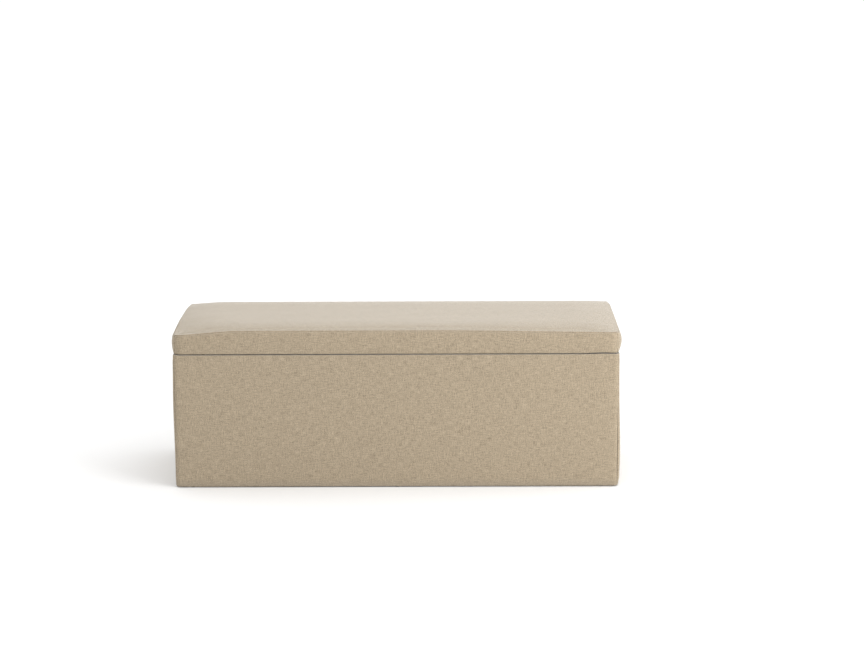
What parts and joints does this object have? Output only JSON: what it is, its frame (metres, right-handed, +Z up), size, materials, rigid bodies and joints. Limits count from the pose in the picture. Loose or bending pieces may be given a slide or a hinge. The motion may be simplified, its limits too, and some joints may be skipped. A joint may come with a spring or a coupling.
{
  "type": "storage bench",
  "caption": "Padded storage bench: a fully upholstered rectangular box on low glides, under a thick padded lid that swings up on rear hinges and gas struts.",
  "frame": {"origin": "on the floor plane, under the middle of the bench's upholstery", "axes": "+X towards the bench's right end as seen from the front, -Y out of the front, +Z up"},
  "size_m": [1.3, 0.4861, 0.477],
  "materials": {
    "upholstery": "oatmeal plain-weave upholstery fabric, matt",
    "board": "raw plywood",
    "timber": "planed softwood",
    "foam": "open-cell upholstery foam",
    "wadding": "polyester wadding",
    "lining": "plain cotton lining",
    "dust_cover": "black non-woven",
    "hinge_steel": "zinc-plated, satin",
    "strut_black": "black paint, satin",
    "strut_chrome": "ground and plated",
    "socket_plastic": "moulded black",
    "glide_plastic": "moulded dark brown",
    "buffer_rubber": "matt black"
  },
  "bodies": {
    "base": {"front_board": "board", "back_board": "board", "left_end_board": "board", "right_end_board": "board", "floor_board": "board", "corner_block_front_left": "timber", "corner_block_front_right": "timber", "corner_block_back_left": "timber", "corner_block_back_right": "timber", "floor_cleat_front": "timber", "floor_cleat_back": "timber", "floor_bearer": "timber", "base_pad_front": "foam", "base_pad_back": "foam", "base_pad_left": "foam", "base_pad_right": "foam", "base_cover_front": "upholstery", "base_cover_back": "upholstery", "base_cover_left": "upholstery", "base_cover_right": "upholstery", "base_lining": "lining", "dust_cover": "dust_cover", "hinge_base_leaf_left": "hinge_steel", "hinge_base_leaf_centre": "hinge_steel", "hinge_base_leaf_right": "hinge_steel", "hinge_pin_left": "hinge_steel", "hinge_pin_centre": "hinge_steel", "hinge_pin_right": "hinge_steel", "strut_base_bracket_left": "hinge_steel", "strut_base_bracket_right": "hinge_steel", "glide_front_left": "glide_plastic", "glide_front_centre": "glide_plastic", "glide_front_right": "glide_plastic", "glide_back_left": "glide_plastic", "glide_back_centre": "glide_plastic", "glide_back_right": "glide_plastic", "lid_buffer_left": "buffer_rubber", "lid_buffer_right": "buffer_rubber"},
    "lid": {"lid_board": "board", "lid_foam": "foam", "lid_wadding": "wadding", "lid_cover_top": "upholstery", "lid_border_front": "upholstery", "lid_border_back": "upholstery", "lid_border_left": "upholstery", "lid_border_right": "upholstery", "lid_lining": "lining", "hinge_lid_leaf_left": "hinge_steel", "hinge_lid_leaf_centre": "hinge_steel", "hinge_lid_leaf_right": "hinge_steel", "strut_lid_bracket_left": "hinge_steel", "strut_lid_bracket_right": "hinge_steel"},
    "strut_cylinder_left": {"strut_cylinder_left": "strut_black", "strut_cylinder_socket_left": "socket_plastic"},
    "strut_rod_left": {"strut_rod_left": "strut_chrome", "strut_rod_socket_left": "socket_plastic"},
    "strut_cylinder_right": {"strut_cylinder_right": "strut_black", "strut_cylinder_socket_right": "socket_plastic"},
    "strut_rod_right": {"strut_rod_right": "strut_chrome", "strut_rod_socket_right": "socket_plastic"}
  },
  "joints": [
    {"name": "lid_hinge", "type": "hinge", "parent": "base", "child": "lid", "pos_m": [0, 0.2435, 0.3975], "axis": [-1, 0, 0], "range_deg": [0, 80]},
    {"name": "strut_cylinder_pivot_left", "type": "hinge", "parent": "base", "child": "strut_cylinder_left", "pos_m": [-0.6118, 0.18915, 0.19466], "axis": [-1, 0, 0], "range_deg": [0, 40]},
    {"name": "strut_rod_pivot_left", "type": "hinge", "parent": "lid", "child": "strut_rod_left", "pos_m": [-0.6118, 0.0343, 0.3792], "axis": [-1, 0, 0], "range_deg": [-40, 0]},
    {"name": "strut_cylinder_pivot_right", "type": "hinge", "parent": "base", "child": "strut_cylinder_right", "pos_m": [0.6118, 0.18915, 0.19466], "axis": [-1, 0, 0], "range_deg": [0, 40]},
    {"name": "strut_rod_pivot_right", "type": "hinge", "parent": "lid", "child": "strut_rod_right", "pos_m": [0.6118, 0.0343, 0.3792], "axis": [-1, 0, 0], "range_deg": [-40, 0]}
  ],
  "couplings": [
    {"joint": "strut_cylinder_pivot_left", "follows": "lid_hinge", "ratio": 0.5},
    {"joint": "strut_rod_pivot_left", "follows": "lid_hinge", "ratio": -0.5},
    {"joint": "strut_cylinder_pivot_right", "follows": "lid_hinge", "ratio": 0.5},
    {"joint": "strut_rod_pivot_right", "follows": "lid_hinge", "ratio": -0.5}
  ]
}
